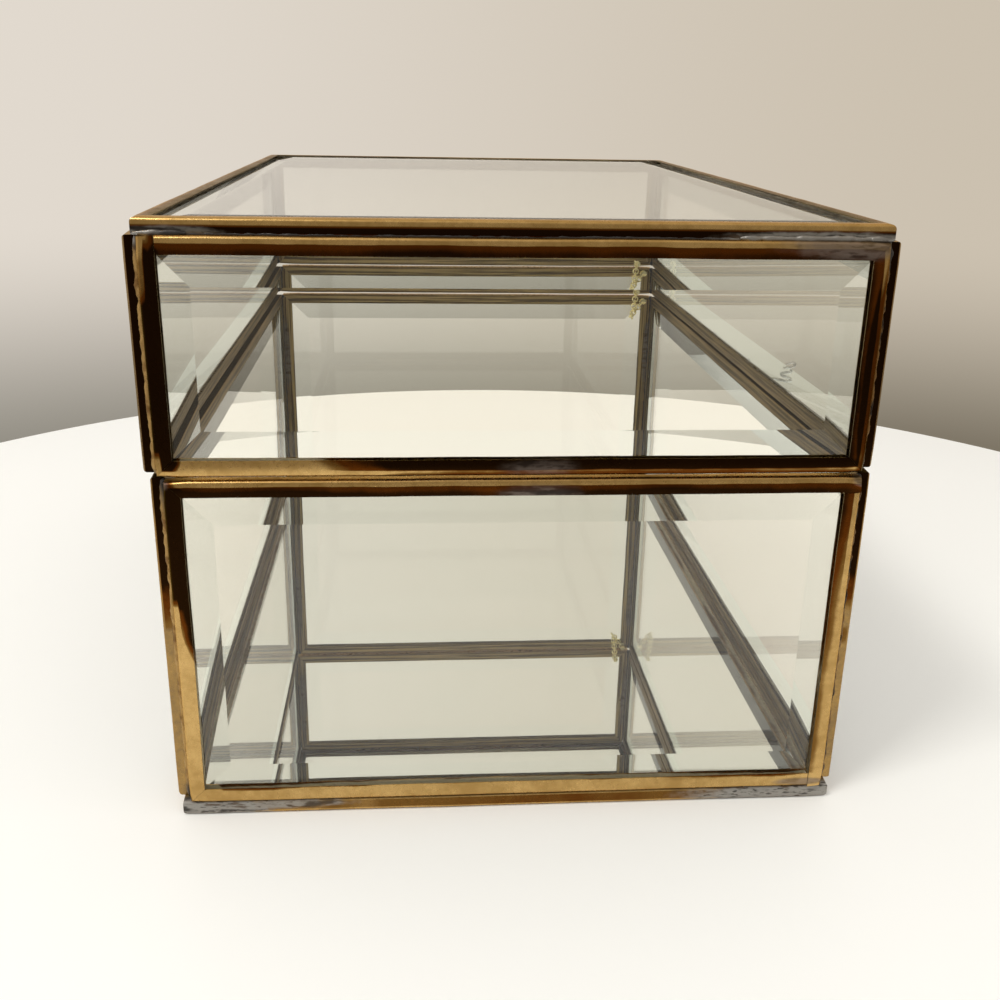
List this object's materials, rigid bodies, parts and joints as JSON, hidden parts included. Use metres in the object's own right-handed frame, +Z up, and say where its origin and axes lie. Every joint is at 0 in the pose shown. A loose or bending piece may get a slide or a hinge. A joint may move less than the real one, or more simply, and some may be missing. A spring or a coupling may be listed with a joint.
{
  "type": "glass casket box",
  "caption": "Rectangular keepsake box of bevelled glass panes in folded brass came, with a deep hinged glass lid, a stay chain and a mirror floor.",
  "frame": {"origin": "under the middle of the bounding box, on the surface that the box stands on", "axes": "+X towards the hinge side, +Y along the hinge from the front end to the rear end, +Z up"},
  "size_m": [0.2141, 0.305, 0.175],
  "materials": {
    "old_brass": "aged brass, gold on the rounded edges and red-brown patina on the faces",
    "dark_brass": "brass with a deep red-brown to black patina, worn to gold along the edges",
    "bright_brass": "bright brass wire, lightly tarnished",
    "solder_grey": "dull grey solder, lumpy, with small bright spots",
    "clear_glass": "clear glass with a faint green edge and a polished bevel",
    "silvered": "silvered glass, lightly worn along its edge"
  },
  "bodies": {
    "base": {"base_front_came": "old_brass", "base_front_glass": "clear_glass", "base_rear_came": "old_brass", "base_rear_glass": "clear_glass", "base_left_came": "old_brass", "base_left_glass": "clear_glass", "base_right_came": "old_brass", "base_right_glass": "clear_glass", "base_floor_came": "old_brass", "base_mirror": "silvered", "base_corner_solder": "solder_grey", "hinge_tube_front": "dark_brass", "hinge_tube_middle": "dark_brass", "hinge_tube_rear": "dark_brass", "base_hinge_solder": "solder_grey", "base_chain_post": "old_brass"},
    "lid": {"lid_front_came": "dark_brass", "lid_front_glass": "clear_glass", "lid_rear_came": "dark_brass", "lid_rear_glass": "clear_glass", "lid_left_came": "dark_brass", "lid_left_glass": "clear_glass", "lid_right_came": "dark_brass", "lid_right_glass": "clear_glass", "lid_top_came": "dark_brass", "lid_top_glass": "clear_glass", "lid_corner_solder": "solder_grey", "hinge_wire_front": "solder_grey", "hinge_wire_middle": "solder_grey", "hinge_wire_rear": "solder_grey", "lid_hinge_solder": "solder_grey", "lid_chain_post": "old_brass"},
    "chain_lower": {"chain_lower_rings": "bright_brass"},
    "chain_upper": {"chain_upper_rings": "bright_brass"}
  },
  "joints": [
    {"name": "lid_hinge", "type": "hinge", "parent": "base", "child": "lid", "pos_m": [0.09745, 0, 0.10645], "axis": [0, 1, 0], "range_deg": [0, 105]},
    {"name": "chain_lower_swing", "type": "hinge", "parent": "base", "child": "chain_lower", "pos_m": [0.08775, 0.1463, 0.1036], "axis": [0, 1, 0], "range_deg": [0, 174.7]},
    {"name": "chain_upper_swing", "type": "hinge", "parent": "lid", "child": "chain_upper", "pos_m": [0.08325, 0.1426, 0.1093], "axis": [0, -1, 0], "range_deg": [0, 57]}
  ],
  "couplings": [
    {"joint": "chain_lower_swing", "follows": "lid_hinge", "ratio": 1.6622},
    {"joint": "chain_upper_swing", "follows": "lid_hinge", "ratio": 0.54059}
  ]
}
